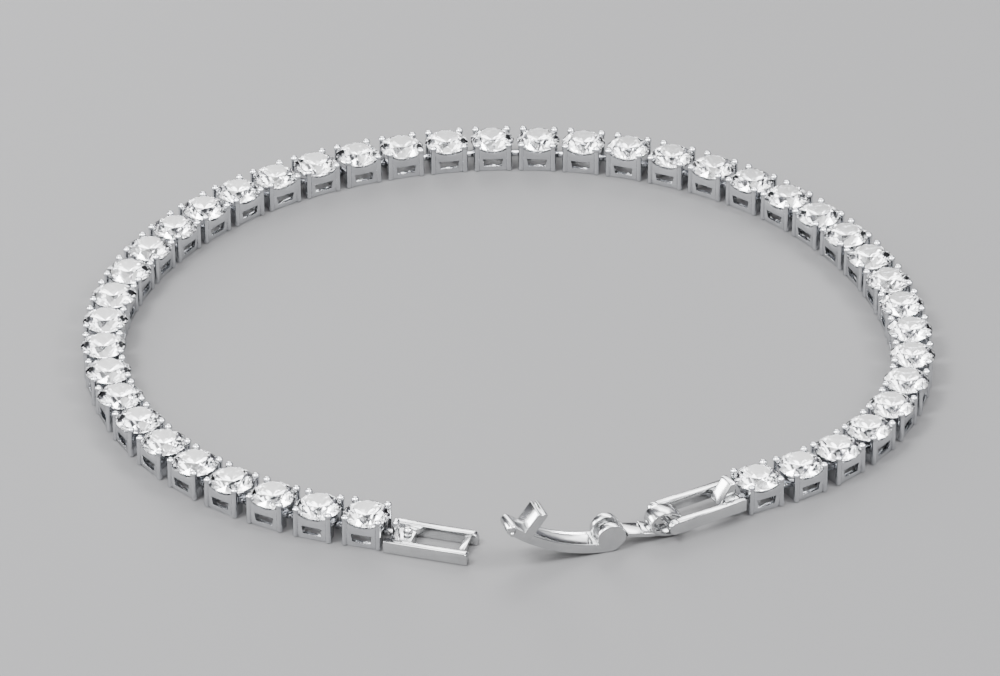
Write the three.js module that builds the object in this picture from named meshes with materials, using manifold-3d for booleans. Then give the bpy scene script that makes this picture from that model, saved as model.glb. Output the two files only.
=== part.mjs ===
// A tennis bracelet lying open on a table: a row of round stones in square four-prong boxes,
// linked tab through slot, with a catch frame at one end and a folding lever clasp at the other.
// Millimetres, +Z up. The origin is under the middle of the bracelet, on the surface it lies on.
import * as THREE from "three";
import { mergeVertices } from "three/addons/utils/BufferGeometryUtils.js";
import Module from "manifold-3d";

const wasm = await Module();
wasm.setup();

// The row of links
const pitch = 4.0;
const linkCount = 43;

// The stone
const stoneDiameter = 3.7;
const stoneSides = 12;
const tableShare = 0.57;
const crownHeight = 0.62;
const pavilionDepth = 1.6;
const girdleLevel = 2.2;

// The box that carries the stone
const boxLength = 3.1;
const boxWidth = 3.2;
const boxHeight = 2.1;
const boxWall = 0.4;
const windowLength = 1.75;
const windowHeight = 0.75;
const windowSill = 0.4;

// The four prongs
const prongRadius = 0.4;
const prongTipHeight = 0.34;
const prongGrip = 0.16;
const prongRise = 2.55;

// The tab that hooks one link to the next
const tabWidth = 0.6;
const tabThickness = 0.4;
const tabLevel = 0.8;
const tabHeadWidth = 1.5;
const tabHeadLength = 0.34;
const tabHeadHeight = 0.6;
const slotClearance = 0.24;
const headClearance = 0.2;

// The two long frames of the clasp
const frameWidth = 3.66;
const railWidth = 0.66;
const railHeight = 1.05;
const catchFrameGap = 0.32;
const claspFrameGap = 0.62;
const tongueHeight = 2.05;
const tongueTopLength = 0.5;
const tongueInset = 0.33;
const catchTongueWidth = 0.84;
const claspTongueWidth = 1.1;
const tongueRampLength = 1.12;
const tongueRampFoot = 0.45;
const sillHeight = 0.85;
const catchSillLength = 2.1;
const claspSillLength = 1.45;
const catchFrameLength = 6.95;
const catchBarInset = 0.5;
const catchBarThickness = 0.57;
const catchBarHeight = 0.85;
const catchBarFoot = 0.1;
const catchBarLowShare = 0.75;
const railTipRadius = 0.3;
const claspFrameLength = 7.25;
const claspFrameLift = 0.8;
const claspWallFoot = 0.25;
const claspWallWidth = 2.4;
const claspFrameAngle = 3.2;
const framePinInset = 0.62;
const framePinLevel = 1.35;
const framePinRadius = 0.3;
const lugRadius = 0.6;
const beadRadius = 0.4;
const beadInset = 0.55;
const beadSink = 0.1;

// The hinge plate between the clasp frame and the lever
const plateLength = 4.88;
const plateWidth = 1.75;
const plateThickness = 0.37;
const plateDrop = 0.85;
const plateEyeRadius = 0.6;
const loopWidth = 1.6;
const loopLength = 2.95;
const loopHeight = 2.16;
const loopThickness = 0.28;
const stripStartShare = 0.25;
const plateNeckWidth = 0.5;
const plateTiltAngle = 12.6;
const earClearance = 0.16;
const plateAngle = -10.6;

// The lever
const leverPinLevel = 1.2;
const leverPinRadius = 0.3;
const leverPinClearance = 0.12;
const leverPinSeat = 0.2;
const earRadius = 1.2;
const earFloor = 0.35;
const leverWidth = 2.1;
const earSlot = 0.8;
const strapThickness = 0.78;
const strapRadius = 14.0;
const strapSweepAngle = 38;
const strapSteps = 7;
const nubRadius = 0.46;
const catchLength = 2.1;
const catchThickness = 0.85;
const catchBaseAngle = 32;
const catchLeanAngle = 124;
const leverAngle = -2.4;
const leverTiltAngle = 2.5;

// How many sides the round shapes have
const pinSides = 8;
const boreSides = 10;
const railTipSides = 8;
const lugSides = 10;
const earSides = 14;
const nubSides = 10;
const beadSides = 6;
const beadRings = 4;
const loopSides = 16;

// The loop as it lies: where the first link stands, which way the row leaves it, in degrees,
// and how many degrees each joint turns in stretches of so many joints.
const route = {
  x: -10.6,
  y: -26.4,
  heading: 164.1,
  stretches: [
    { joints: 5, turn: 8.2 },
    { joints: 6, turn: 8.1 },
    { joints: 6, turn: 7.2 },
    { joints: 6, turn: 6.3 },
    { joints: 6, turn: 7.2 },
    { joints: 6, turn: 6.7 },
    { joints: 6, turn: 10.3 },
  ],
};

const silver = { color: 0xd8dadd, roughness: 0.22, metalness: 1.0 };
const brightStone = { color: 0xf4f6fa, roughness: 0.05, metalness: 0.1 };
const past = 1.0;
const radians = THREE.MathUtils.degToRad;

// A closed three.js geometry as a solid that can be joined and cut
function solidOf(geometry) {
  const bare = geometry.clone();
  for (const name of Object.keys(bare.attributes)) {
    if (name !== "position") bare.deleteAttribute(name);
  }
  const merged = mergeVertices(bare, 1e-5);
  return new wasm.Manifold(
    new wasm.Mesh({
      numProp: 3,
      vertProperties: new Float32Array(merged.attributes.position.array),
      triVerts: new Uint32Array(merged.index.array),
    }),
  );
}

function geometryOf(solid) {
  const mesh = solid.getMesh();
  const geometry = new THREE.BufferGeometry();
  geometry.setAttribute("position", new THREE.BufferAttribute(new Float32Array(mesh.vertProperties), 3));
  geometry.setIndex(new THREE.BufferAttribute(new Uint32Array(mesh.triVerts), 1));
  geometry.computeVertexNormals();
  return geometry;
}

function joined(solids) {
  return solids.reduce((whole, next) => whole.add(next));
}

function cut(solid, cutters) {
  return cutters.reduce((rest, next) => rest.subtract(next), solid);
}

// A block given by its lowest and highest corner
function block(x0, x1, y0, y1, z0, z1) {
  const geometry = new THREE.BoxGeometry(x1 - x0, y1 - y0, z1 - z0);
  geometry.translate((x0 + x1) / 2, (y0 + y1) / 2, (z0 + z1) / 2);
  return solidOf(geometry);
}

// A round bar across the width, its middle at x, z
function crossBar(x, z, radius, width, sides) {
  const geometry = new THREE.CylinderGeometry(radius, radius, width, sides);
  geometry.translate(x, 0, 0);
  geometry.translate(0, 0, z);
  return solidOf(geometry);
}

// A side outline in x and z, extruded across the width and centred on it
function acrossWidth(shape, width) {
  const geometry = new THREE.ExtrudeGeometry(shape, { depth: width, bevelEnabled: false });
  geometry.translate(0, 0, -width / 2);
  geometry.rotateX(Math.PI / 2);
  return solidOf(geometry);
}

// The round stone: flat table, sloping crown and pointed pavilion
function stoneSolid() {
  const radius = stoneDiameter / 2;
  const points = [
    new THREE.Vector2(0, girdleLevel - pavilionDepth),
    new THREE.Vector2(radius, girdleLevel),
    new THREE.Vector2(radius * tableShare, girdleLevel + crownHeight),
    new THREE.Vector2(0, girdleLevel + crownHeight),
  ];
  const geometry = new THREE.LatheGeometry(points, stoneSides);
  geometry.rotateX(Math.PI / 2);
  geometry.rotateZ(Math.PI / stoneSides);
  return solidOf(geometry);
}

// One prong: a square post on the corner of the box, whose pointed tip lies over the edge of the stone
function prongSolid(signX, signY) {
  const points = [
    new THREE.Vector2(0, boxHeight),
    new THREE.Vector2(prongRadius, boxHeight),
    new THREE.Vector2(prongRadius, prongRise),
    new THREE.Vector2(0, prongRise + prongTipHeight),
  ];
  const corner = Math.atan2(signY * boxWidth, signX * boxLength);
  const reach = stoneDiameter / 2 + prongRadius - 2 * prongGrip;
  const geometry = new THREE.LatheGeometry(points, 4);
  geometry.rotateX(Math.PI / 2);
  geometry.rotateZ(Math.PI / 4);
  geometry.translate(reach * Math.cos(corner), reach * Math.sin(corner), 0);
  return solidOf(geometry);
}

const headStart = pitch - boxLength / 2 + boxWall + headClearance;
const headEnd = headStart + tabHeadLength;
const headWidthHalf = tabHeadWidth / 2;

// A tab along x: a flat neck from one x to the other, with a wider head between two more
function tabSolid(neckStart, neckEnd, headFrom, headTo) {
  const top = tabLevel + tabThickness / 2;
  const neck = block(neckStart, neckEnd, -tabWidth / 2, tabWidth / 2, top - tabThickness, top);
  const head = block(headFrom, headTo, -headWidthHalf, headWidthHalf, top - tabHeadHeight, top);
  return neck.add(head);
}

// The box: four walls open above and below, a window in each side wall and a notch for the tab
function boxSolid() {
  const walls = block(-boxLength / 2, boxLength / 2, -boxWidth / 2, boxWidth / 2, 0, boxHeight);
  const pocket = block(
    boxWall - boxLength / 2, boxLength / 2 - boxWall,
    boxWall - boxWidth / 2, boxWidth / 2 - boxWall,
    -past, boxHeight + past,
  );
  const windows = block(
    -windowLength / 2, windowLength / 2, -boxWidth, boxWidth, windowSill, windowSill + windowHeight,
  );
  const slotHalf = tabWidth / 2 + slotClearance;
  const slot = block(
    -boxLength / 2 - past, boxWall - boxLength / 2 + boxWall / 2, -slotHalf, slotHalf,
    -past, tabLevel + tabThickness / 2 + slotClearance,
  );
  return cut(walls, [pocket, windows, slot]);
}

// A whole link: box, prongs and tab in one piece of metal, with the stone held in it
function linkSolid() {
  const prongs = [[1, 1], [1, -1], [-1, 1], [-1, -1]].map(([x, y]) => prongSolid(x, y));
  const tab = tabSolid(boxLength / 2 - boxWall / 2, headEnd, headStart, headEnd);
  return joined([boxSolid(), ...prongs, tab, stoneSolid()]);
}

// The tongue of a frame: a post that rises beside the end link, with a ramp of so much length before it
function tongueSolid(start, width, rampLength) {
  const back = start + tongueInset;
  const front = back + tongueTopLength;
  const shape = new THREE.Shape();
  shape.moveTo(back, 0);
  shape.lineTo(front + rampLength, 0);
  shape.lineTo(front + rampLength, tongueRampFoot);
  shape.lineTo(front, tongueHeight);
  shape.lineTo(back, tongueHeight);
  shape.closePath();
  return acrossWidth(shape, width);
}

const catchStart = boxLength / 2 + catchFrameGap;
const claspStart = boxLength / 2 + claspFrameGap;
const setWidth = frameWidth - railWidth;

// A rail: a straight bar with a rounded free end
function railSolid(side, startX, foot, endX, endLevel, endRadius, sides) {
  const middle = side * (frameWidth - railWidth) / 2;
  const bar = block(startX, endX, middle - railWidth / 2, middle + railWidth / 2, foot, foot + railHeight);
  return bar.add(crossBar(endX, endLevel, endRadius, railWidth, sides).translate(0, middle, 0));
}

// The catch frame at the first link: a bar set in between the rails closes its free end, and its tab
// reaches back through the first link's notch
function catchFrameSolid() {
  const end = catchStart + catchFrameLength;
  const tipLevel = railHeight - railTipRadius;
  const rails = [-1, 1].map(
    (side) => railSolid(side, catchStart, 0, end - railTipRadius, tipLevel, railTipRadius, railTipSides),
  );
  const barStart = end - catchBarInset - catchBarThickness;
  const bar = new THREE.Shape();
  bar.moveTo(barStart, catchBarFoot);
  bar.lineTo(end - catchBarInset, catchBarFoot);
  bar.lineTo(end - catchBarInset, catchBarHeight);
  bar.lineTo(barStart, catchBarHeight * catchBarLowShare);
  bar.closePath();
  const closing = acrossWidth(bar, setWidth);
  const tongue = tongueSolid(catchStart, catchTongueWidth, 0);
  const sillEnd = catchStart + catchSillLength;
  const sill = block(catchStart + tongueInset, sillEnd, -setWidth / 2, setWidth / 2, 0, sillHeight);
  const bead = new THREE.SphereGeometry(beadRadius, beadSides, beadRings);
  bead.translate(sillEnd - beadInset, 0, sillHeight + beadRadius - beadSink);
  const tabReach = pitch - headEnd;
  const tab = tabSolid(tabReach, catchStart + tongueInset + boxWall, tabReach, tabReach + tabHeadLength);
  return joined([...rails, closing, tongue, sill, solidOf(bead), tab]);
}

const framePinX = claspStart + claspFrameLength - framePinInset;

// The frame of the clasp at the last link: its rails end in round lugs that carry the hinge pin, and the
// wall under its sill has the slot for the last link's tab
function claspFrameSolid() {
  const rails = [-1, 1].map(
    (side) => railSolid(side, claspStart, claspFrameLift, framePinX, framePinLevel, lugRadius, lugSides),
  );
  const pin = crossBar(framePinX, framePinLevel, framePinRadius, setWidth, pinSides);
  const tongue = tongueSolid(claspStart, claspTongueWidth, tongueRampLength).translate(0, 0, claspFrameLift);
  const sill = block(
    claspStart, claspStart + claspSillLength, -setWidth / 2, setWidth / 2,
    claspFrameLift, claspFrameLift + sillHeight,
  );
  const wallEnd = headStart - headClearance;
  const wall = block(
    claspStart, wallEnd, -claspWallWidth / 2, claspWallWidth / 2, claspWallFoot, claspFrameLift + sillHeight,
  );
  const slotHalf = tabWidth / 2 + slotClearance;
  const slotTop = tabLevel + tabThickness / 2 + slotClearance;
  const slot = block(0, wallEnd, -slotHalf, slotHalf, -past, slotTop);
  const headRoom = block(
    wallEnd, headEnd + headClearance, -headWidthHalf - slotClearance, headWidthHalf + slotClearance,
    -past, slotTop,
  );
  return cut(joined([...rails, pin, tongue, sill, wall]), [slot, headRoom]);
}

const pinRise = leverPinLevel - framePinLevel;

// A bar across the width with an oval section
function loopBar(length, height, width) {
  return crossBar(0, 0, 1, width, loopSides).scale([length / 2, 1, height / 2]);
}

// The hinge plate: a flat strip that curls up and over the frame's pin in a wide loose loop, with a
// narrow eye on the lever's pin. Its x runs from the frame pin to the lever pin. The strip is modelled
// level and then tilted about the frame's pin, up towards the lever.
function plateSolid() {
  const tilt = radians(plateTiltAngle);
  const eyeX = plateLength * Math.cos(tilt) + pinRise * Math.sin(tilt);
  const eyeZ = pinRise * Math.cos(tilt) - plateLength * Math.sin(tilt);
  const foot = -plateDrop - plateThickness;
  const middle = foot + loopHeight / 2;
  const loop = loopBar(loopLength, loopHeight, loopWidth).translate(0, 0, middle);
  const hollow = loopBar(loopLength - 2 * loopThickness, loopHeight - 2 * loopThickness, plateWidth)
    .translate(0, 0, middle);
  const eye = crossBar(eyeX, eyeZ, plateEyeRadius, plateNeckWidth, lugSides);
  const bodyEnd = eyeX - earRadius - earClearance;
  const bodyStart = loopLength * stripStartShare;
  const body = block(bodyStart, bodyEnd, -plateWidth / 2, plateWidth / 2, foot, -plateDrop);
  const neck = block(bodyStart, eyeX, -plateNeckWidth / 2, plateNeckWidth / 2, foot, -plateDrop);
  const bore = crossBar(eyeX, eyeZ, leverPinRadius + leverPinClearance, plateWidth, boreSides);
  return cut(joined([loop, eye, body, neck]), [hollow, bore]).rotate([0, -plateTiltAngle, 0]);
}

// The lever: two round ears on a pin, and a curved strap that ends in a nub behind a leaning catch.
// Its x runs from the pin to the tip, and the strap leaves the foot of the ears.
function strapPoint(angle, depth) {
  const radius = strapRadius - depth;
  const x = radius * Math.sin(radians(angle));
  const z = strapRadius - earRadius - radius * Math.cos(radians(angle));
  return new THREE.Vector2(x, z);
}

function leverSolid() {
  const strap = new THREE.Shape();
  const lower = [];
  const upper = [];
  for (let step = 0; step <= strapSteps; step += 1) {
    lower.push(strapPoint((strapSweepAngle * step) / strapSteps, 0));
    upper.unshift(strapPoint((strapSweepAngle * step) / strapSteps, strapThickness));
  }
  strap.setFromPoints([...lower, ...upper]);
  const band = acrossWidth(strap, leverWidth);
  const ears = crossBar(0, 0, earRadius, leverWidth, earSides);
  const tip = strapPoint(strapSweepAngle, strapThickness / 2);
  const nub = crossBar(tip.x, tip.y, nubRadius, leverWidth, nubSides);
  const base = strapPoint(catchBaseAngle, strapThickness / 2);
  const blockGeometry = new THREE.BoxGeometry(catchLength + strapThickness / 2, leverWidth, catchThickness);
  blockGeometry.translate((catchLength + strapThickness / 2) / 2, 0, 0);
  blockGeometry.rotateY(-radians(catchLeanAngle));
  blockGeometry.translate(base.x, 0, 0);
  blockGeometry.translate(0, 0, base.y);
  const slot = block(
    -2 * earRadius, earRadius, -earSlot / 2, earSlot / 2, earFloor - earRadius, 2 * earRadius,
  );
  const pin = crossBar(0, 0, leverPinRadius, earSlot + 2 * leverPinSeat, pinSides);
  const whole = joined([band, ears, nub, solidOf(blockGeometry)]);
  return cut(whole, [slot]).add(pin);
}

// Pieces are placed in nested groups: the row's links by the route, the clasp by the end links
function piece(name, solid, finish) {
  const material = new THREE.MeshStandardMaterial(finish);
  const mesh = new THREE.Mesh(geometryOf(solid), material);
  mesh.name = name;
  return mesh;
}

function placed(mesh, x, y, z, turn) {
  mesh.position.set(x, y, z);
  mesh.rotation.set(0, 0, radians(turn));
  return mesh;
}

// Where each link stands and which way it points
function linkPlaces() {
  const turns = route.stretches.flatMap((stretch) => Array(stretch.joints).fill(stretch.turn));
  const places = [{ x: route.x, y: route.y }];
  const headings = [];
  let heading = route.heading;
  for (let step = 1; step < linkCount; step += 1) {
    const last = places[step - 1];
    headings.push(heading);
    places.push({
      x: last.x + pitch * Math.cos(radians(heading)),
      y: last.y + pitch * Math.sin(radians(heading)),
    });
    heading -= turns[Math.min(step - 1, turns.length - 1)];
  }
  return places.map((place, index) => {
    const before = headings[Math.max(index - 1, 0)];
    const after = headings[Math.min(index, headings.length - 1)];
    return { ...place, heading: (before + after) / 2 };
  });
}

const bracelet = new THREE.Group();
const places = linkPlaces();
const link = linkSolid();
places.forEach((place, index) => {
  const name = `link_${String(index + 1).padStart(2, "0")}`;
  bracelet.add(placed(piece(name, link, brightStone), place.x, place.y, 0, place.heading));
});

const first = places[0];
const catchFrame = piece("catch_frame", catchFrameSolid(), silver);
bracelet.add(placed(catchFrame, first.x, first.y, 0, first.heading + 180));

const last = places[places.length - 1];
const clasp = new THREE.Group();
clasp.position.set(last.x, last.y, 0);
clasp.rotation.z = radians(last.heading + claspFrameAngle);
clasp.add(piece("clasp_frame", claspFrameSolid(), silver));

const plateGroup = new THREE.Group();
plateGroup.position.set(framePinX, 0, framePinLevel);
plateGroup.rotation.z = radians(plateAngle);
plateGroup.add(piece("hinge_plate", plateSolid(), silver));
clasp.add(plateGroup);

const leverGroup = new THREE.Group();
leverGroup.position.set(plateLength, 0, pinRise);
leverGroup.rotation.order = "ZYX";
leverGroup.rotation.set(0, -radians(leverTiltAngle), radians(leverAngle));
leverGroup.add(piece("lever", leverSolid(), silver));
plateGroup.add(leverGroup);
bracelet.add(clasp);

bracelet.updateMatrixWorld(true);
const bounds = new THREE.Box3().setFromObject(bracelet, true);
bracelet.position.set(-(bounds.min.x + bounds.max.x) / 2, -(bounds.min.y + bounds.max.y) / 2, -bounds.min.z);

const part = new THREE.Group();
part.add(bracelet);
export default part;
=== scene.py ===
import math

import bpy
from mathutils import Matrix, Vector


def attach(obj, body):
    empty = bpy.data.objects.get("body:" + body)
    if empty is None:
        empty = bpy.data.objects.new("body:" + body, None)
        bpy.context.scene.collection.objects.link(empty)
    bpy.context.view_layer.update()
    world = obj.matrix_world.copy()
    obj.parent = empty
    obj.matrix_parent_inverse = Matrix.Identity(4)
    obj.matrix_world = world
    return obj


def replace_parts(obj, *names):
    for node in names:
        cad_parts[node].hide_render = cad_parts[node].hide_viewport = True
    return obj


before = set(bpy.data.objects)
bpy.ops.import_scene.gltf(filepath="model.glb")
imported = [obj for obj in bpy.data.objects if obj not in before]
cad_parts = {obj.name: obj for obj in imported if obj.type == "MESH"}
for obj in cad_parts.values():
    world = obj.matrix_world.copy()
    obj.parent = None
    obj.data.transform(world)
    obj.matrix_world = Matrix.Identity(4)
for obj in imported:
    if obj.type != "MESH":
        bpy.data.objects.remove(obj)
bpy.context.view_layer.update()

# THE STONES: forty-three round brilliants of colourless cubic zirconia, each ground to a flat
# table, a crown of kites, stars and halves, and a pointed pavilion. Four beads hold its edge. One
# is modelled in millimetres at the origin, and its copies go to the links of the fixed frame.
link_count = 43
millimetre = Matrix.Scale(0.001, 4)
table_low = 0.0027
table_high = 0.00285
tab_reach = 0.0028
places = []
for number in range(1, link_count + 1):
    corners = {
        (round(v.co.x, 6), round(v.co.y, 6), round(v.co.z, 6))
        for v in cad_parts[f"link_{number:02d}"].data.vertices
    }
    table = [Vector((x, y, 0)) for x, y, z in corners if table_low < z < table_high]
    middle = sum(table, Vector()) / len(table)
    spokes = [Vector((x, y, 0)) - middle for x, y, z in corners]
    ahead = sum((spoke for spoke in spokes if spoke.length > tab_reach), Vector())
    heading = math.atan2(ahead.y, ahead.x)
    places.append(Matrix.Translation(middle) @ Matrix.Rotation(heading, 4, "Z") @ millimetre)

clear = bpy.data.materials.new("clear_stone")
clear.use_nodes = True
nodes = clear.node_tree.nodes
links = clear.node_tree.links
shader = nodes["Principled BSDF"]
shader.inputs["Metallic"].default_value = 0.0
shader.inputs["Transmission Weight"].default_value = 1.0
shader.inputs["IOR"].default_value = 2.16
shader.inputs["Roughness"].default_value = 0.0
# Painted fire and facet shading: small noise patches shift the stone's base colour between a faint
# blue and white. They are painted in for the coloured flashes and the light and dark facets that
# light makes inside a cut stone.
spot = nodes.new("ShaderNodeTexCoord")
painted_fire_noise = nodes.new("ShaderNodeTexNoise")
painted_fire_noise.inputs["Scale"].default_value = 300
links.new(spot.outputs["Object"], painted_fire_noise.inputs["Vector"])
painted_fire_tint = nodes.new("ShaderNodeValToRGB")
painted_fire_tint.color_ramp.elements[0].color = (0.95, 0.97, 1.0, 1)
painted_fire_tint.color_ramp.elements[1].color = (1.0, 1.0, 1.0, 1)
links.new(painted_fire_noise.outputs["Fac"], painted_fire_tint.inputs["Fac"])
links.new(painted_fire_tint.outputs["Color"], shader.inputs["Base Color"])


def whole(name, parts, material, smooth_angle=35):
    """Joins parts into one object, merges doubled corners and turns every face outwards."""
    bpy.ops.object.select_all(action="DESELECT")
    for part in parts:
        part.select_set(True)
    bpy.context.view_layer.objects.active = parts[0]
    if len(parts) > 1:
        bpy.ops.object.join()
    made = bpy.context.view_layer.objects.active
    made.name = name
    made.data.name = name
    bpy.ops.object.mode_set(mode="EDIT")
    bpy.ops.mesh.select_all(action="SELECT")
    bpy.ops.mesh.remove_doubles(threshold=0.0005)
    bpy.ops.mesh.normals_make_consistent(inside=False)
    bpy.ops.object.mode_set(mode="OBJECT")
    bpy.ops.object.shade_smooth_by_angle(angle=math.radians(smooth_angle))
    made.data.materials.clear()
    made.data.materials.append(material)
    return made


def set_down(made, place, body):
    """Moves an object to its place in the frame and fastens it to a body."""
    bpy.ops.object.select_all(action="DESELECT")
    bpy.context.view_layer.objects.active = made
    made.select_set(True)
    made.matrix_world = place
    bpy.ops.object.transform_apply(location=True, rotation=True, scale=True)
    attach(made, body)
    return made


def copy_of(master, name):
    """A copy of a master with a mesh of its own."""
    bpy.ops.object.select_all(action="DESELECT")
    master.select_set(True)
    bpy.context.view_layer.objects.active = master
    bpy.ops.object.duplicate(linked=False)
    made = bpy.context.object
    made.name = name
    made.data.name = name
    return made


radius = 1.88
girdle_top = 2.24
girdle_foot = 2.14
crown_slope = math.radians(34.5)
pavilion_slope = math.radians(41.0)
table_share = 0.57
star_share = 0.5
lower_share = 0.23
table_radius = table_share * radius
table_level = girdle_top + (radius - table_radius) * math.tan(crown_slope)
eighth = math.radians(45)
half = eighth / 2
quarter = eighth / 4
star_edge = table_radius * math.cos(half)
star_reach = star_edge + star_share * (radius - star_edge)
star_rise = (radius - star_reach * math.cos(half)) * math.tan(crown_slope)
star_slope = math.atan2(table_level - girdle_top - star_rise, star_reach - star_edge)
upper_slope = math.atan2(star_rise, (radius - star_reach) * math.cos(quarter))
lower_reach = lower_share * radius
lower_drop = (radius - lower_reach * math.cos(half)) * math.tan(pavilion_slope)
lower_slope = math.atan2(lower_drop, (radius - lower_reach) * math.cos(quarter))
blank_height = 4
facets = []
for step in range(8):
    turn = step * eighth
    facets.append((turn, crown_slope, radius, girdle_top, 1))
    facets.append((turn + half, star_slope, star_edge, table_level, 1))
    facets.append((turn, pavilion_slope, radius, girdle_foot, -1))
    for side in (-quarter, quarter):
        facets.append((turn + side, upper_slope, radius * math.cos(quarter), girdle_top, 1))
        facets.append((turn + side, lower_slope, radius * math.cos(quarter), girdle_foot, -1))
bpy.ops.object.select_all(action="DESELECT")
bpy.ops.mesh.primitive_cylinder_add(
    vertices=64, radius=radius, depth=blank_height, location=(0, 0, table_level - blank_height / 2)
)
bpy.ops.object.transform_apply(location=True, rotation=True, scale=True)
stone = bpy.context.object
bpy.ops.object.mode_set(mode="EDIT")
for turn, slope, reach, level, up in facets:
    bpy.ops.mesh.select_all(action="SELECT")
    bpy.ops.mesh.bisect(
        plane_co=(reach * math.cos(turn), reach * math.sin(turn), level),
        plane_no=(
            math.sin(slope) * math.cos(turn),
            math.sin(slope) * math.sin(turn),
            up * math.cos(slope),
        ),
        use_fill=True,
        clear_outer=True,
    )
bpy.ops.object.mode_set(mode="OBJECT")
stone = whole("stone", [stone], clear, smooth_angle=1)
turn_step = 11
for number, place in enumerate(places, 1):
    turn = math.radians(turn_step * number % 45)
    made = copy_of(stone, f"stone_{number:02d}")
    set_down(made, place @ Matrix.Rotation(turn, 4, "Z"), "chain")
bpy.data.objects.remove(stone, do_unlink=True)

# THE SETTINGS: forty-three cast baskets of rhodium-plated silver. Four walls stand between four
# round posts that end in beads over the stone. Each long wall has a window and dips under the
# stone, and a flat tab soldered to one end hooks through the notch of the next basket.
marks_group = bpy.data.node_groups.new("polish_marks", "ShaderNodeTree")
marks_group.interface.new_socket("Vector", in_out="INPUT", socket_type="NodeSocketVector")
marks_group.interface.new_socket("Scale", in_out="INPUT", socket_type="NodeSocketFloat")
marks_group.interface.new_socket("Gloss", in_out="INPUT", socket_type="NodeSocketFloat")
marks_group.interface.new_socket("Wear", in_out="INPUT", socket_type="NodeSocketFloat")
marks_group.interface.new_socket("Roughness", in_out="OUTPUT", socket_type="NodeSocketFloat")
marks_group.interface.new_socket("Height", in_out="OUTPUT", socket_type="NodeSocketFloat")
inner = marks_group.nodes
wires = marks_group.links
entry = inner.new("NodeGroupInput")
result = inner.new("NodeGroupOutput")
rub = inner.new("ShaderNodeTexNoise")
rub.inputs["Detail"].default_value = 6
rub.inputs["Roughness"].default_value = 0.6
wires.new(entry.outputs["Vector"], rub.inputs["Vector"])
wires.new(entry.outputs["Scale"], rub.inputs["Scale"])
worn = inner.new("ShaderNodeMath")
worn.operation = "MULTIPLY_ADD"
wires.new(rub.outputs["Fac"], worn.inputs[0])
wires.new(entry.outputs["Wear"], worn.inputs[1])
wires.new(entry.outputs["Gloss"], worn.inputs[2])
wires.new(worn.outputs["Value"], result.inputs["Roughness"])
wires.new(rub.outputs["Fac"], result.inputs["Height"])


def silver_finish(name, colour, scale, gloss, wear, relief):
    """A silver whose gloss and surface vary with fine polishing marks."""
    finish = bpy.data.materials.new(name)
    finish.use_nodes = True
    nodes = finish.node_tree.nodes
    links = finish.node_tree.links
    shader = nodes["Principled BSDF"]
    shader.inputs["Metallic"].default_value = 1.0
    spot = nodes.new("ShaderNodeTexCoord")
    marks = nodes.new("ShaderNodeGroup")
    marks.node_tree = marks_group
    marks.inputs["Scale"].default_value = scale
    marks.inputs["Gloss"].default_value = gloss
    marks.inputs["Wear"].default_value = wear
    links.new(spot.outputs["Object"], marks.inputs["Vector"])
    links.new(marks.outputs["Roughness"], shader.inputs["Roughness"])
    shade = nodes.new("ShaderNodeValToRGB")
    shade.color_ramp.elements[0].position = 0.35
    shade.color_ramp.elements[0].color = (*(0.88 * c for c in colour), 1)
    shade.color_ramp.elements[1].position = 0.65
    shade.color_ramp.elements[1].color = (*colour, 1)
    links.new(marks.outputs["Height"], shade.inputs["Fac"])
    links.new(shade.outputs["Color"], shader.inputs["Base Color"])
    bump = nodes.new("ShaderNodeBump")
    bump.inputs["Strength"].default_value = relief
    bump.inputs["Distance"].default_value = 0.0001
    links.new(marks.outputs["Height"], bump.inputs["Height"])
    links.new(bump.outputs["Normal"], shader.inputs["Normal"])
    return finish


bright_silver = silver_finish(
    "bright_silver", colour=(0.62, 0.63, 0.65), scale=1100, gloss=0.05, wear=0.14, relief=0.12
)


def pick(made, wanted):
    """Goes into edit mode with those corners selected whose place passes the test."""
    bpy.ops.object.mode_set(mode="EDIT")
    bpy.ops.mesh.select_mode(type="VERT")
    bpy.ops.mesh.select_all(action="DESELECT")
    bpy.ops.object.mode_set(mode="OBJECT")
    for corner in made.data.vertices:
        corner.select = wanted(corner.co)
    bpy.ops.object.mode_set(mode="EDIT")


def block(x0, x1, y0, y1, z0, z1, edge=0.0, steps=2):
    """A block between two corners, its edges rounded by edge."""
    bpy.ops.object.select_all(action="DESELECT")
    bpy.ops.mesh.primitive_cube_add(
        size=1,
        location=((x0 + x1) / 2, (y0 + y1) / 2, (z0 + z1) / 2),
        scale=(x1 - x0, y1 - y0, z1 - z0),
    )
    bpy.ops.object.transform_apply(location=True, rotation=True, scale=True)
    made = bpy.context.object
    if edge:
        bpy.ops.object.mode_set(mode="EDIT")
        bpy.ops.mesh.select_all(action="SELECT")
        bpy.ops.mesh.bevel(offset=edge, segments=steps, affect="EDGES")
        bpy.ops.object.mode_set(mode="OBJECT")
    return made


def rod(start, end, thick, sides=32, edge=0.0):
    """A round bar of a radius between two points, its ends rounded by edge."""
    along = Vector(end) - Vector(start)
    bpy.ops.object.select_all(action="DESELECT")
    bpy.ops.mesh.primitive_cylinder_add(
        vertices=sides,
        radius=thick,
        depth=along.length,
        location=(Vector(start) + Vector(end)) / 2,
        rotation=along.to_track_quat("Z", "Y").to_euler(),
    )
    bpy.ops.object.transform_apply(location=True, rotation=True, scale=True)
    made = bpy.context.object
    if edge:
        bpy.ops.object.mode_set(mode="EDIT")
        bpy.ops.mesh.select_mode(type="FACE")
        bpy.ops.mesh.select_all(action="DESELECT")
        bpy.ops.object.mode_set(mode="OBJECT")
        for face in made.data.polygons:
            face.select = len(face.vertices) > 4
        bpy.ops.object.mode_set(mode="EDIT")
        bpy.ops.mesh.bevel(offset=edge, segments=3, affect="EDGES")
        bpy.ops.object.mode_set(mode="OBJECT")
    return made


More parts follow.
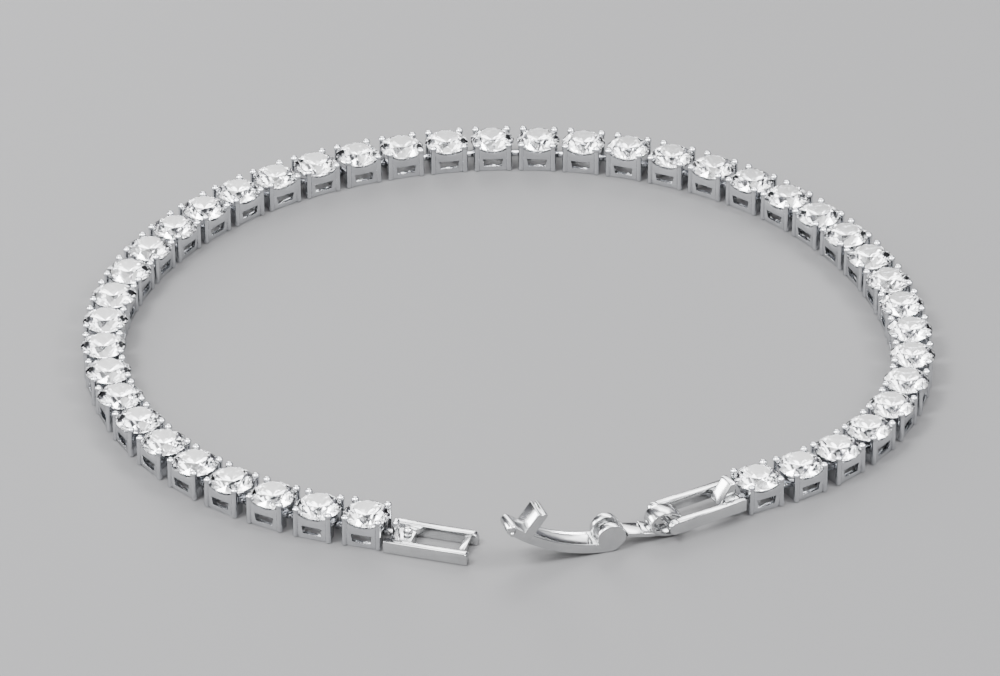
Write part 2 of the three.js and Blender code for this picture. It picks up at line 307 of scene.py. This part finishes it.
def ball(x, y, z, thick, flat=1.0, sides=20):
    """A round bead, lower than it is wide where flat is under one."""
    bpy.ops.object.select_all(action="DESELECT")
    bpy.ops.mesh.primitive_uv_sphere_add(
        segments=sides, ring_count=sides // 2, radius=thick, location=(x, y, z), scale=(1, 1, flat)
    )
    bpy.ops.object.transform_apply(location=True, rotation=True, scale=True)
    return bpy.context.object


def cut(body, cutter):
    """Takes the cutter's shape out of the body."""
    bpy.ops.object.select_all(action="DESELECT")
    bpy.context.view_layer.objects.active = body
    body.select_set(True)
    bpy.ops.object.modifier_add(type="BOOLEAN")
    body.modifiers[-1].operation = "DIFFERENCE"
    body.modifiers[-1].object = cutter
    bpy.ops.object.modifier_apply(modifier=body.modifiers[-1].name)
    bpy.data.objects.remove(cutter, do_unlink=True)
    return body


def soften(body, width, steps=2):
    """Rounds every sharp edge of the body."""
    bpy.ops.object.select_all(action="DESELECT")
    bpy.context.view_layer.objects.active = body
    body.select_set(True)
    bpy.ops.object.modifier_add(type="BEVEL")
    body.modifiers[-1].width = width
    body.modifiers[-1].segments = steps
    body.modifiers[-1].limit_method = "ANGLE"
    body.modifiers[-1].angle_limit = math.radians(35)
    bpy.ops.object.modifier_apply(modifier=body.modifiers[-1].name)
    return body


post_x = 1.4
post_y = 1.45
post_thick = 0.25
post_top = 2.35
post_lean = 0.98
bead_lean = 0.97
bead_level = 2.4
bead_thick = 0.32
bead_flat = 0.92
wall_x = 1.5
wall_y = 1.55
wall_thick = 0.34
wall_foot = 0.02
wall_top = 2.12
dip_thick = 2.1
dip_level = 1.74
window_half = 0.88
window_foot = 0.42
window_top = 1.14
window_taper = 0.84
notch_x = -1.0
notch_half = 0.54
notch_top = 1.24
tab_start = 1.3
tab_half = 0.3
tab_foot = 0.62
tab_top = 1.0
hook_start = 3.05
hook_end = 3.39
hook_half = 0.75
hook_foot = 0.4
below = -1
beyond = 3
hair = 0.01
setting = block(-wall_x, wall_x, -wall_y, wall_y, wall_foot, wall_top)
hollow_x = wall_x - wall_thick
hollow_y = wall_y - wall_thick
cut(setting, block(-hollow_x, hollow_x, -hollow_y, hollow_y, below, beyond))
window = block(-window_half, window_half, -beyond, beyond, window_foot, window_top)
pick(window, lambda place: place.z < window_foot + hair)
bpy.ops.transform.resize(value=(window_taper, 1, 1), center_override=(0, 0, window_foot))
bpy.ops.object.mode_set(mode="OBJECT")
cut(setting, window)
cut(setting, block(-beyond, notch_x, -notch_half, notch_half, below, notch_top))
dip = dip_level + dip_thick
cut(setting, rod((0, -beyond, dip), (0, beyond, dip), dip_thick, 96))
cut(setting, rod((-beyond, 0, dip), (beyond, 0, dip), dip_thick, 96))
soften(setting, 0.06)
seat_reach = radius + 0.9
seat_gap = 0.02
seat_middle = (seat_reach / 2 - radius - seat_gap) * math.tan(pavilion_slope)
bpy.ops.object.select_all(action="DESELECT")
bpy.ops.mesh.primitive_cone_add(
    vertices=64,
    radius1=0,
    radius2=seat_reach,
    depth=seat_reach * math.tan(pavilion_slope),
    location=(0, 0, girdle_foot + seat_middle),
)
bpy.ops.object.transform_apply(location=True, rotation=True, scale=True)
cut(setting, bpy.context.object)
parts = [setting]
for x in (-post_x, post_x):
    for y in (-post_y, post_y):
        foot = (x, y, 0)
        top = (post_lean * x, post_lean * y, post_top)
        parts.append(rod(foot, top, post_thick, 20, 0.06))
        parts.append(ball(bead_lean * x, bead_lean * y, bead_level, bead_thick, bead_flat))
parts.append(block(tab_start, hook_start + 0.15, -tab_half, tab_half, tab_foot, tab_top, 0.08))
parts.append(block(hook_start, hook_end, -hook_half, hook_half, hook_foot, tab_top + hair, 0.1))
setting = whole("setting", parts, bright_silver)
for number, place in enumerate(places, 1):
    made = copy_of(setting, f"setting_{number:02d}")
    set_down(made, place, "chain")
    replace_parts(made, f"link_{number:02d}")
bpy.data.objects.remove(setting, do_unlink=True)

# THE CATCH FRAME: one silver casting at the first link, of two rails with rounded ends, a sill
# with an upright tongue and a bead, and a sloping bar set in from the free end. Its tab is
# soldered under the tongue and hooks through the notch of the first basket.
soft_silver = silver_finish(
    "soft_silver", colour=(0.60, 0.605, 0.61), scale=700, gloss=0.08, wear=0.16, relief=0.16
)
rail_near = 1.17
rail_far = 1.83
rail_height = 1.05


def rail(side, x0, x1, foot, round_off):
    """A rail with soft edges, the top of its free end rounded over."""
    near, far = sorted((side * rail_near, side * rail_far))
    made = block(x0, x1, near, far, foot, foot + rail_height)
    if round_off:
        pick(made, lambda place: place.x > x1 - hair and place.z > foot + rail_height - hair)
        bpy.ops.mesh.bevel(offset=round_off, segments=8, affect="EDGES")
        bpy.ops.object.mode_set(mode="OBJECT")
    return soften(made, 0.09)


catch_place = places[0] @ Matrix.Rotation(math.pi, 4, "Z")
catch_start = 1.87
catch_end = 8.82
parts = [rail(-1, catch_start, catch_end, 0, 0.28), rail(1, catch_start, catch_end, 0, 0.5)]
closing_start = catch_end - 1.07
closing_end = catch_end - 0.5
closing_half = 1.3
closing_foot = 0.1
closing_top = 0.85
closing_drop = 0.22
closing = block(closing_start, closing_end, -closing_half, closing_half, closing_foot, closing_top)
pick(closing, lambda place: place.x < closing_start + hair and place.z > closing_top - hair)
bpy.ops.transform.translate(value=(0, 0, -closing_drop))
bpy.ops.object.mode_set(mode="OBJECT")
parts.append(soften(closing, 0.08))
sill_start = catch_start + 0.33
sill_end = catch_start + 2.1
sill_half = 1.4
sill_foot = 0.03
sill_top = 0.85
parts.append(block(sill_start, sill_end, -sill_half, sill_half, sill_foot, sill_top, 0.1))
web_start = catch_start + 0.9
web_end = catch_start + 2.6
web_near = 0.55
web_foot = 0.5
web_top = 0.98
web_slant = 0.55
web = block(web_start, web_end, web_near, sill_half, web_foot, web_top)
pick(web, lambda place: place.y < web_near + hair and place.x < web_start + hair)
bpy.ops.transform.translate(value=(0, web_slant, 0))
bpy.ops.object.mode_set(mode="OBJECT")
pick(web, lambda place: place.y < web_near + hair and place.x > web_end - hair)
bpy.ops.transform.translate(value=(-web_slant, 0, 0))
bpy.ops.object.mode_set(mode="OBJECT")
parts.append(soften(web, 0.07))
tongue_end = catch_start + 0.83
tongue_half = 0.42
tongue_foot = 0.3
tongue_top = 2.05
parts.append(
    block(sill_start, tongue_end, -tongue_half, tongue_half, tongue_foot, tongue_top, 0.22, 5)
)
knob_x = catch_start + 1.55
knob_level = sill_top + 0.28
knob_thick = 0.4
parts.append(ball(knob_x, 0, knob_level, knob_thick, sides=28))
reach_start = 0.7
reach_end = catch_start + 0.7
parts.append(block(reach_start, reach_end, -tab_half, tab_half, tab_foot, tab_top - hair, 0.08))
grip_start = 0.61
grip_end = 0.95
parts.append(block(grip_start, grip_end, -hook_half, hook_half, hook_foot, tab_top, 0.1))
catch = whole("catch_frame_silver", parts, soft_silver)
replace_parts(set_down(catch, catch_place, "chain"), "catch_frame")

# THE CLASP FRAME: the second casting, raised on a wall whose slot takes the tab of the last link.
# Two rails run from a sill with a ramped tongue to round lugs, and a wire pin is riveted between
# the lugs for the hinge plate.
clasp_turn = math.radians(3.2)
clasp_place = places[-1] @ Matrix.Rotation(clasp_turn, 4, "Z")
clasp_start = 2.17
clasp_lift = 0.8
pin_x = 8.8
pin_level = 1.35
pin_thick = 0.3
pin_half = 1.5
lug_thick = 0.58
lug_inset = 0.02
parts = []
for side in (-1, 1):
    parts.append(rail(side, clasp_start, pin_x, clasp_lift, 0))
    near, far = sorted((side * (rail_near + lug_inset), side * (rail_far - lug_inset)))
    parts.append(rod((pin_x, near, pin_level), (pin_x, far, pin_level), lug_thick, 40, 0.1))
parts.append(rod((pin_x, -pin_half, pin_level), (pin_x, pin_half, pin_level), pin_thick, 24))
shelf_start = clasp_start + 0.02
shelf_end = clasp_start + 1.45
shelf_foot = 1.26
shelf_top = 1.65
parts.append(block(shelf_start, shelf_end, -sill_half, sill_half, shelf_foot, shelf_top, 0.1))
slot_start = clasp_start + 0.05
slot_end = clasp_start + 0.66
slot_half = 0.56
wall_half = 1.2
slot_foot = 0.25
slot_top = 1.5
for side in (-1, 1):
    near, far = sorted((side * slot_half, side * wall_half))
    parts.append(block(slot_start, slot_end, near, far, slot_foot, slot_top, 0.06))
ramp_start = clasp_start + 0.33
ramp_end = clasp_start + 1.95
ramp_half = 0.75
ramp_top = 2.98
ramp_run = 1.12
ramp = block(ramp_start, ramp_end, -ramp_half, ramp_half, shelf_foot + hair, ramp_top)
pick(ramp, lambda place: place.x > ramp_end - hair and place.z > ramp_top - hair)
bpy.ops.transform.translate(value=(-ramp_run, 0, 0))
bpy.ops.object.mode_set(mode="OBJECT")
parts.append(soften(ramp, 0.13, 3))
clasp = whole("clasp_frame_silver", parts, soft_silver)
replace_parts(set_down(clasp, clasp_place, "chain"), "clasp_frame")

# THE HINGE PLATE: a strip of silver sheet, rolled up and over the frame's pin into a wide loose
# loop whose tail lies on the strip again, and filed to a narrow neck with an eye for the lever's
# pin. It is modelled level and tilted about the frame's pin.
plate_turn = math.radians(-10.6)
plate_place = (
    clasp_place
    @ Matrix.Translation((pin_x, 0, pin_level))
    @ Matrix.Rotation(plate_turn, 4, "Z")
)
tilt = math.radians(12.6)
eye_reach = 4.88
eye_drop = 0.15
eye_x = eye_reach * math.cos(tilt) - eye_drop * math.sin(tilt)
eye_level = -eye_drop * math.cos(tilt) - eye_reach * math.sin(tilt)
eye_thick = 0.6
eye_half = 0.26
sheet_thick = 0.24
strip_foot = -1.22
loop_width = 1.6
loop_reach = 1.475
loop_rise = 1.08
bpy.ops.object.select_all(action="DESELECT")
bpy.ops.mesh.primitive_cylinder_add(
    vertices=64,
    radius=1,
    depth=loop_width,
    end_fill_type="NOTHING",
    rotation=(math.pi / 2, 0, 0),
)
bpy.ops.object.transform_apply(location=True, rotation=True, scale=True)
loop = bpy.context.object
bpy.ops.object.mode_set(mode="EDIT")
bpy.ops.mesh.select_all(action="SELECT")
bpy.ops.transform.resize(value=(loop_reach, 1, loop_rise), center_override=(0, 0, 0))
bpy.ops.transform.translate(value=(0, 0, strip_foot + loop_rise))
bpy.ops.mesh.normals_make_consistent(inside=False)
bpy.ops.object.mode_set(mode="OBJECT")
bpy.ops.object.modifier_add(type="SOLIDIFY")
loop.modifiers[-1].thickness = sheet_thick
loop.modifiers[-1].offset = -1
bpy.ops.object.modifier_apply(modifier=loop.modifiers[-1].name)
parts = [soften(loop, 0.05)]
strip_start = 1.0
strip_end = eye_x - 1.36
strip_half = 0.875
strip_low = strip_foot + 0.015
strip_top = -0.87
parts.append(block(strip_start, strip_end, -strip_half, strip_half, strip_low, strip_top, 0.06))
tail_start = 0.4
tail_end = 1.95
tail_half = 0.79
tail_low = strip_foot + 0.03
tail_top = -0.7
parts.append(block(tail_start, tail_end, -tail_half, tail_half, tail_low, tail_top, 0.07))
neck_start = 3.0
neck_half = 0.25
neck_low = strip_foot + 0.04
neck_top = -0.9
parts.append(block(neck_start, eye_x, -neck_half, neck_half, neck_low, neck_top, 0.06))
parts.append(
    rod((eye_x, -eye_half, eye_level), (eye_x, eye_half, eye_level), eye_thick, 40, 0.06)
)
plate = whole("hinge_plate_silver", parts, soft_silver)
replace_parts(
    set_down(plate, plate_place @ Matrix.Rotation(-tilt, 4, "Y"), "plate"), "hinge_plate"
)

# THE LEVER: a heavy silver casting. Two round ears hold the pin that the plate's eye turns on, and
# from their foot a curved strap with raised rims runs to a leaning catch and a rounded tip, which
# fold over the frame and snap behind its sill.
lever_turn = math.radians(-2.4)
lever_rise = math.radians(-2.5)
lever_place = (
    plate_place
    @ Matrix.Translation((eye_reach, 0, -eye_drop))
    @ Matrix.Rotation(lever_turn, 4, "Z")
    @ Matrix.Rotation(lever_rise, 4, "Y")
)
lever_half = 1.05
ear_thick = 1.2
ear_near = 0.4
ear_cut = (-0.82, 0, -0.72)
ear_cut_way = (-0.75, 0, -0.66)
strap_radius = 14.0
strap_thick = 0.78
strap_sweep = math.radians(38)
strap_centre = strap_radius - ear_thick
mid_radius = strap_radius - strap_thick / 2
parts = []
for side in (-1, 1):
    near, far = sorted((side * ear_near, side * (lever_half + hair)))
    ear = rod((0, near, 0), (0, far, 0), ear_thick, 64)
    bpy.ops.object.mode_set(mode="EDIT")
    bpy.ops.mesh.select_all(action="SELECT")
    bpy.ops.mesh.bisect(plane_co=ear_cut, plane_no=ear_cut_way, use_fill=True, clear_outer=True)
    bpy.ops.object.mode_set(mode="OBJECT")
    parts.append(soften(ear, 0.1, 3))
lever_pin = 0.7
parts.append(rod((0, -lever_pin, 0), (0, lever_pin, 0), pin_thick, 24))
bpy.ops.object.select_all(action="DESELECT")
bpy.ops.mesh.primitive_plane_add(
    size=1, location=(0, 0, strap_thick / 2 - ear_thick), rotation=(0, math.pi / 2, 0)
)
strap = bpy.context.object
strap.scale = (strap_thick, 2 * lever_half, 1)
bpy.ops.object.transform_apply(location=True, rotation=True, scale=True)
strap_top = strap_thick - ear_thick
strap_dip = 0.13
floor_half = 0.5
rim_half = 0.8
rim_spread = 1.4
floor_spread = 3.8
pick(strap, lambda place: place.z > strap_top - hair)
bpy.ops.mesh.subdivide(number_cuts=4)
bpy.ops.object.mode_set(mode="OBJECT")
pick(strap, lambda place: place.z > strap_top - hair and floor_half < abs(place.y) < rim_half)
bpy.ops.transform.resize(value=(1, rim_spread, 1), center_override=(0, 0, strap_top))
bpy.ops.object.mode_set(mode="OBJECT")
pick(strap, lambda place: place.z > strap_top - hair and abs(place.y) < floor_half)
bpy.ops.transform.resize(value=(1, floor_spread, 1), center_override=(0, 0, strap_top))
bpy.ops.transform.translate(value=(0, 0, -strap_dip))
bpy.ops.mesh.select_all(action="SELECT")
bpy.ops.mesh.spin(steps=28, angle=strap_sweep, center=(0, 0, strap_centre), axis=(0, 1, 0))
bpy.ops.object.mode_set(mode="OBJECT")
parts.append(soften(strap, 0.06))
foot_start = 0.2
foot_end = 1.45
foot_half = lever_half - hair
foot_low = -1.1
foot_top = -0.37
parts.append(block(foot_start, foot_end, -foot_half, foot_half, foot_low, foot_top, 0.06))
tip_x = mid_radius * math.sin(strap_sweep)
tip_level = strap_centre - mid_radius * math.cos(strap_sweep)
tip_thick = 0.46
tip_near = (tip_x, 0.05 - lever_half, tip_level)
tip_far = (tip_x, lever_half, tip_level)
parts.append(rod(tip_near, tip_far, tip_thick, 32, 0.22))
nub_thick = 0.22
parts.append(ball(tip_x + 0.05, lever_half - 0.1, tip_level - 0.3, nub_thick))
catch_sweep = math.radians(32)
catch_lean = math.radians(-124)
catch_half = lever_half + 0.012
catch_thick = 0.425
catch_foot = -0.2
catch_top = 2.49
step_start = 2.25
step_side = -0.02
catch_block = block(catch_foot, catch_top, -catch_half, catch_half, -catch_thick, catch_thick)
cut(catch_block, block(step_start, beyond, -2, 2, below, step_side))
soften(catch_block, 0.1, 3)
bpy.ops.object.select_all(action="DESELECT")
catch_block.select_set(True)
bpy.context.view_layer.objects.active = catch_block
catch_x = mid_radius * math.sin(catch_sweep)
catch_level = strap_centre - mid_radius * math.cos(catch_sweep)
catch_block.matrix_world = Matrix.Translation((catch_x, 0, catch_level)) @ Matrix.Rotation(
    catch_lean, 4, "Y"
)
bpy.ops.object.transform_apply(location=True, rotation=True, scale=True)
parts.append(catch_block)
lever = whole("lever_silver", parts, soft_silver)
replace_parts(set_down(lever, lever_place, "lever_arm"), "lever")

# THE TABLE: a plain matt sheet under the bracelet, which isn't part of the object. Its grey is low
# because the light on it is strong, so that it shows pale.
paper = bpy.data.materials.new("pale_table")
paper.use_nodes = True
shader = paper.node_tree.nodes["Principled BSDF"]
shader.inputs["Base Color"].default_value = (0.083, 0.083, 0.085, 1)
shader.inputs["Roughness"].default_value = 0.6
table_size = 4
table_drop = 0.00002
bpy.ops.object.select_all(action="DESELECT")
bpy.ops.mesh.primitive_plane_add(size=table_size, location=(0, 0, -table_drop))
table_top = bpy.context.object
table_top.name = "table_top"
table_top.data.materials.append(paper)

# THE LIGHT: soft studio light from a room with bright panels and dark flags overhead and a dark
# horizon, which the stones and the metal mirror, and from five soft lamps.
world = bpy.data.worlds.new("room")
bpy.context.scene.world = world
world.use_nodes = True
nodes = world.node_tree.nodes
links = world.node_tree.links
look = nodes.new("ShaderNodeTexCoord")
split = nodes.new("ShaderNodeSeparateXYZ")
links.new(look.outputs["Generated"], split.inputs["Vector"])
sky = nodes.new("ShaderNodeValToRGB")
sky.color_ramp.elements[0].position = 0.22
sky.color_ramp.elements[0].color = (0.03, 0.03, 0.034, 1)
sky.color_ramp.elements[1].position = 0.7
sky.color_ramp.elements[1].color = (1.0, 1.0, 1.0, 1)
links.new(split.outputs["Z"], sky.inputs["Fac"])
panels = nodes.new("ShaderNodeTexNoise")
panels.inputs["Scale"].default_value = 2.6
panels.inputs["Detail"].default_value = 0.0
links.new(look.outputs["Generated"], panels.inputs["Vector"])
flags = nodes.new("ShaderNodeValToRGB")
flags.color_ramp.elements[0].position = 0.44
flags.color_ramp.elements[0].color = (0.06, 0.06, 0.065, 1)
flags.color_ramp.elements[1].position = 0.54
flags.color_ramp.elements[1].color = (1.0, 1.0, 1.0, 1)
links.new(panels.outputs["Fac"], flags.inputs["Fac"])
room = nodes.new("ShaderNodeMix")
room.data_type = "RGBA"
room.blend_type = "MULTIPLY"
room.inputs["Factor"].default_value = 1.0
links.new(sky.outputs["Color"], room.inputs["A"])
links.new(flags.outputs["Color"], room.inputs["B"])
links.new(room.outputs["Result"], nodes["Background"].inputs["Color"])
nodes["Background"].inputs["Strength"].default_value = 8.5
for name, place, size, power in (
    ("key", (-0.25, -0.15, 0.45), 0.16, 6.5),
    ("fill", (0.35, -0.05, 0.4), 0.14, 3.4),
    ("back", (0.05, 0.45, 0.3), 0.25, 0.8),
    ("left_low", (-0.45, 0.13, 0.11), 0.18, 2.2),
    ("back_low", (-0.14, 0.47, 0.13), 0.16, 1.0),
):
    bpy.ops.object.light_add(type="AREA", location=place)
    lamp = bpy.context.object
    lamp.name = name
    lamp.data.size = size
    lamp.data.energy = power
    lamp.rotation_euler = (-Vector(place)).to_track_quat("-Z", "Y").to_euler()

# THE CAMERA: it looks down on the bracelet from the front, at the height and the angle of the
# picture, through a long lens.
aim = Vector((-0.000606, -0.001621, 0.0022))
rise = math.radians(31.95)
distance = 0.53424
bpy.ops.object.camera_add(
    location=aim + Vector((0, -math.cos(rise), math.sin(rise))) * distance,
    rotation=(math.pi / 2 - rise, 0, 0),
)
camera = bpy.context.object
camera.data.sensor_width = 36
camera.data.lens = 231.97
camera.data.clip_start = 0.01
bpy.context.scene.camera = camera
